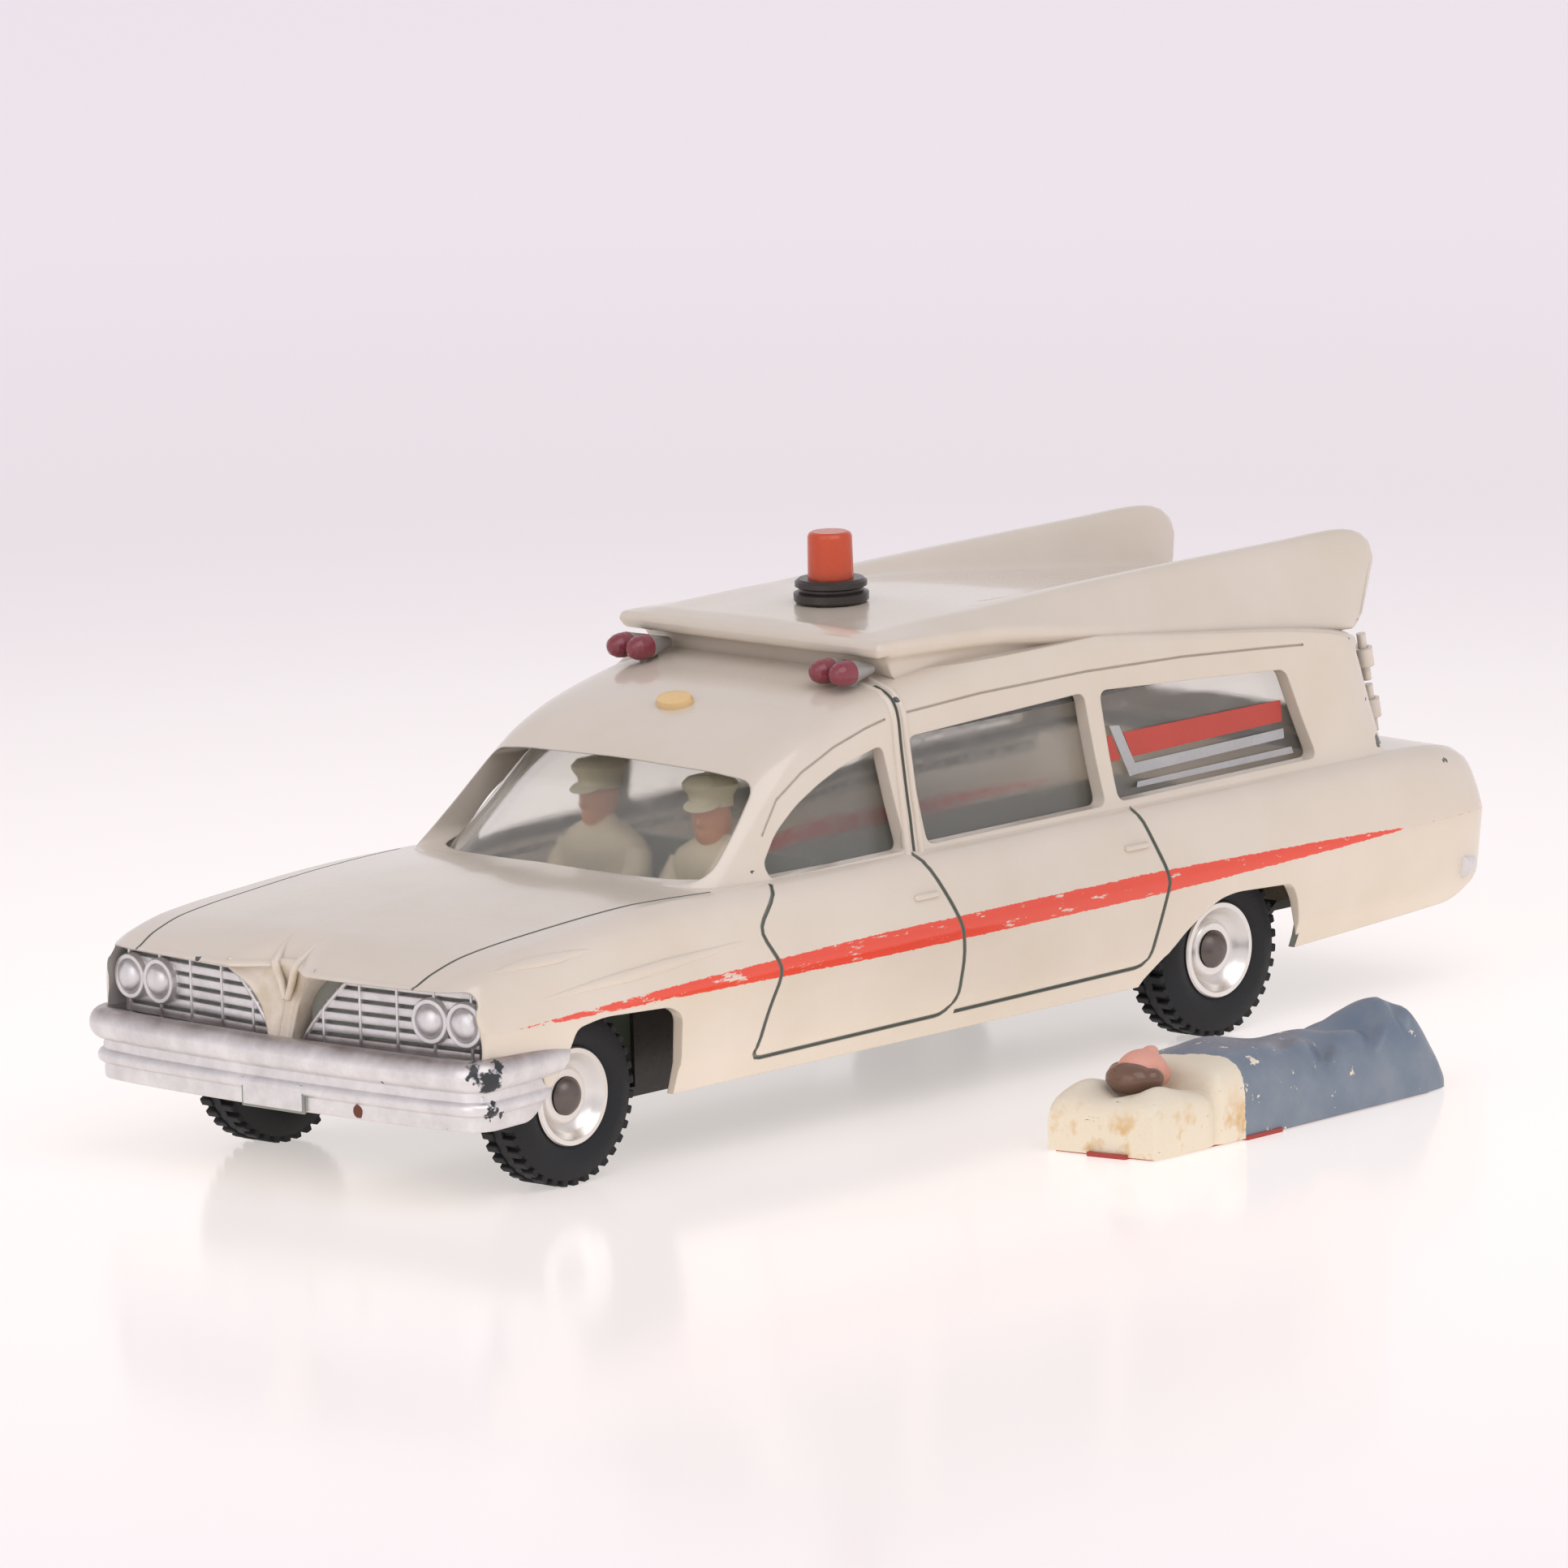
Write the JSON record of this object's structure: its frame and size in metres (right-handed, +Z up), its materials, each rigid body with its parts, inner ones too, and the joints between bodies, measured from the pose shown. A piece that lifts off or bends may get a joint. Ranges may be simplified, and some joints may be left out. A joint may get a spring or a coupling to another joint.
{
  "type": "toy ambulance",
  "caption": "Die-cast toy ambulance with a finned roof, orange beacon, clear windows, seated crew, rolling wheels, steering front axle, hinged rear door and a patient on a stretcher.",
  "frame": {"origin": "centre of the base's underside on the car's middle line, the floor 4.8 mm below it", "axes": "+X forward along the car, +Y to the car's left, +Z up"},
  "size_m": [0.1295, 0.0729, 0.045],
  "materials": {
    "cream_paint": "gloss enamel, worn at edges",
    "clear_glazing": "clear moulding",
    "interior_green": "grey-green moulding",
    "crew_cream": "painted figure",
    "base_black": "black enamel on sheet metal",
    "steel": "bare rivet steel",
    "axle_dark": "darkened steel",
    "spun_hub": "turned",
    "tyre_rubber": "matt rubber",
    "beacon_black": "turned, blackened",
    "beacon_orange": "tinted",
    "lamp_grey": "silver paint, worn",
    "lens_maroon": "gloss",
    "stud_cream": "moulded stud",
    "stretcher_red": "painted",
    "patient_paint": "hand-painted casting"
  },
  "bodies": {
    "car": {"body_shell": "cream_paint", "window_glazing": "clear_glazing", "interior_tray": "interior_green", "steering_wheel": "interior_green", "driver": "crew_cream", "attendant": "crew_cream", "baseplate": "base_black", "base_rivets": "steel", "steering_pivot": "steel", "rear_axle": "axle_dark", "rear_door_pin": "steel", "beacon_base": "beacon_black", "beacon_lens": "beacon_orange", "roof_lamp_left": "lamp_grey", "roof_lamp_right": "lamp_grey", "roof_lamp_lens_left": "lens_maroon", "roof_lamp_lens_right": "lens_maroon", "roof_stud": "stud_cream"},
    "front_axle_unit": {"steering_block": "axle_dark", "front_axle": "axle_dark"},
    "wheel_front_left": {"hub_front_left": "spun_hub", "tyre_front_left": "tyre_rubber"},
    "wheel_front_right": {"hub_front_right": "spun_hub", "tyre_front_right": "tyre_rubber"},
    "wheel_rear_left": {"hub_rear_left": "spun_hub", "tyre_rear_left": "tyre_rubber"},
    "wheel_rear_right": {"hub_rear_right": "spun_hub", "tyre_rear_right": "tyre_rubber"},
    "tailgate": {"rear_door": "cream_paint", "rear_door_glass": "clear_glazing"},
    "patient_set": {"stretcher": "stretcher_red", "patient": "patient_paint"}
  },
  "joints": [
    {"name": "front_steer", "type": "hinge", "parent": "car", "child": "front_axle_unit", "pos_m": [0.0437, 0, 0.0026], "axis": [0, 0, 1], "range_deg": [-5, 5]},
    {"name": "front_left_roll", "type": "hinge", "parent": "front_axle_unit", "child": "wheel_front_left", "pos_m": [0.0473, 0.0162, 0.0026], "axis": [0, 1, 0], "continuous": true},
    {"name": "front_right_roll", "type": "hinge", "parent": "front_axle_unit", "child": "wheel_front_right", "pos_m": [0.0473, -0.0162, 0.0026], "axis": [0, 1, 0], "continuous": true},
    {"name": "rear_left_roll", "type": "hinge", "parent": "car", "child": "wheel_rear_left", "pos_m": [-0.0312, 0.0162, 0.0026], "axis": [0, 1, 0], "continuous": true},
    {"name": "rear_right_roll", "type": "hinge", "parent": "car", "child": "wheel_rear_right", "pos_m": [-0.0312, -0.0162, 0.0026], "axis": [0, 1, 0], "continuous": true},
    {"name": "rear_door_swing", "type": "hinge", "parent": "car", "child": "tailgate", "pos_m": [-0.05491, 0.01438, 0.02181], "axis": [-0.1684, 0, -0.9857], "range_deg": [0, 100]},
    {"name": "patient_lift", "type": "slide", "parent": "car", "child": "patient_set", "axis": [0, 0, 1], "range_m": [0, 0.04]}
  ]
}
